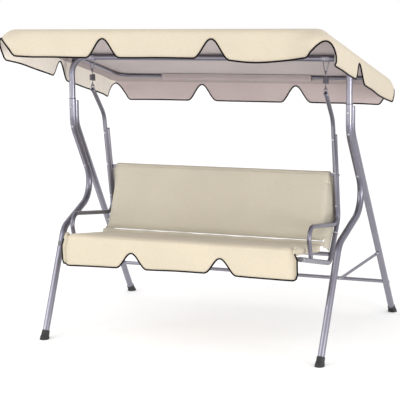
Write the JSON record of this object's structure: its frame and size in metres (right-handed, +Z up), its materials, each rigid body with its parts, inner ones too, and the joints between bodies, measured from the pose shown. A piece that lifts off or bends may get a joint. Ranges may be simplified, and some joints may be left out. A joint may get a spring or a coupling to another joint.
{
  "type": "canopy swing bench",
  "caption": "Garden swing bench: bent-tube stand, tilting scalloped fabric canopy, and a padded bench on spring hangers that swings fore and aft.",
  "frame": {"origin": "floor level, at the middle of the model's footprint", "axes": "+X to the right along the bench's length, +Y towards the rear, +Z up; a sitter faces -Y"},
  "size_m": [1.6426, 1.4111, 1.582],
  "materials": {
    "frame_paint": "semi-gloss silver-grey powder coat",
    "zinc_fasteners": "bright zinc",
    "spring_steel": "dark oiled steel",
    "rubber_black": "matt moulded rubber",
    "plug_plastic": "matt moulded plastic",
    "canopy_cloth": "plain-weave polyester, matt",
    "seat_cloth": "plain-weave polyester over padding, matt"
  },
  "bodies": {
    "frame": {"left_brace_bolts": "zinc_fasteners", "left_canopy_bracket": "frame_paint", "left_canopy_pivot": "zinc_fasteners", "left_canopy_wing_nut": "zinc_fasteners", "left_corner_brace": "frame_paint", "left_crossbar_bolt": "zinc_fasteners", "left_front_foot": "rubber_black", "left_front_leg": "frame_paint", "left_hanger_bolt": "zinc_fasteners", "left_hanger_bracket": "frame_paint", "left_leg_bolts": "zinc_fasteners", "left_rear_foot": "rubber_black", "left_rear_leg": "frame_paint", "rear_crossbar": "frame_paint", "right_brace_bolts": "zinc_fasteners", "right_canopy_bracket": "frame_paint", "right_canopy_pivot": "zinc_fasteners", "right_canopy_wing_nut": "zinc_fasteners", "right_corner_brace": "frame_paint", "right_crossbar_bolt": "zinc_fasteners", "right_front_foot": "rubber_black", "right_front_leg": "frame_paint", "right_hanger_bolt": "zinc_fasteners", "right_hanger_bracket": "frame_paint", "right_leg_bolts": "zinc_fasteners", "right_rear_foot": "rubber_black", "right_rear_leg": "frame_paint", "top_beam": "frame_paint"},
    "canopy": {"canopy_front_rail": "frame_paint", "canopy_rear_rail": "frame_paint", "left_canopy_tube": "frame_paint", "right_canopy_tube": "frame_paint", "canopy_fabric": "canopy_cloth"},
    "hangers": {"left_spring": "spring_steel", "right_spring": "spring_steel"},
    "seat": {"back_cushion": "seat_cloth", "back_top_rail": "frame_paint", "frame_plugs": "plug_plastic", "left_arm_bolts": "zinc_fasteners", "left_hanger_arm": "frame_paint", "left_rail_bolts": "zinc_fasteners", "left_seat_frame": "frame_paint", "right_arm_bolts": "zinc_fasteners", "right_hanger_arm": "frame_paint", "right_rail_bolts": "zinc_fasteners", "right_seat_frame": "frame_paint", "seat_cushion": "seat_cloth", "seat_front_rail": "frame_paint", "seat_rear_rail": "frame_paint", "seat_supports": "frame_paint", "seat_valance": "seat_cloth"}
  },
  "joints": [
    {"name": "canopy_tilt", "type": "hinge", "parent": "frame", "child": "canopy", "pos_m": [0, -0.102, 1.43786], "axis": [1, 0, 0], "range_deg": [-12, 12]},
    {"name": "hanger_swing", "type": "hinge", "parent": "frame", "child": "hangers", "pos_m": [0, -0.102, 1.36], "axis": [1, 0, 0], "range_deg": [-20, 20]},
    {"name": "seat_swing", "type": "hinge", "parent": "hangers", "child": "seat", "pos_m": [0, -0.102, 1.281], "axis": [1, 0, 0], "range_deg": [-10, 10]}
  ]
}
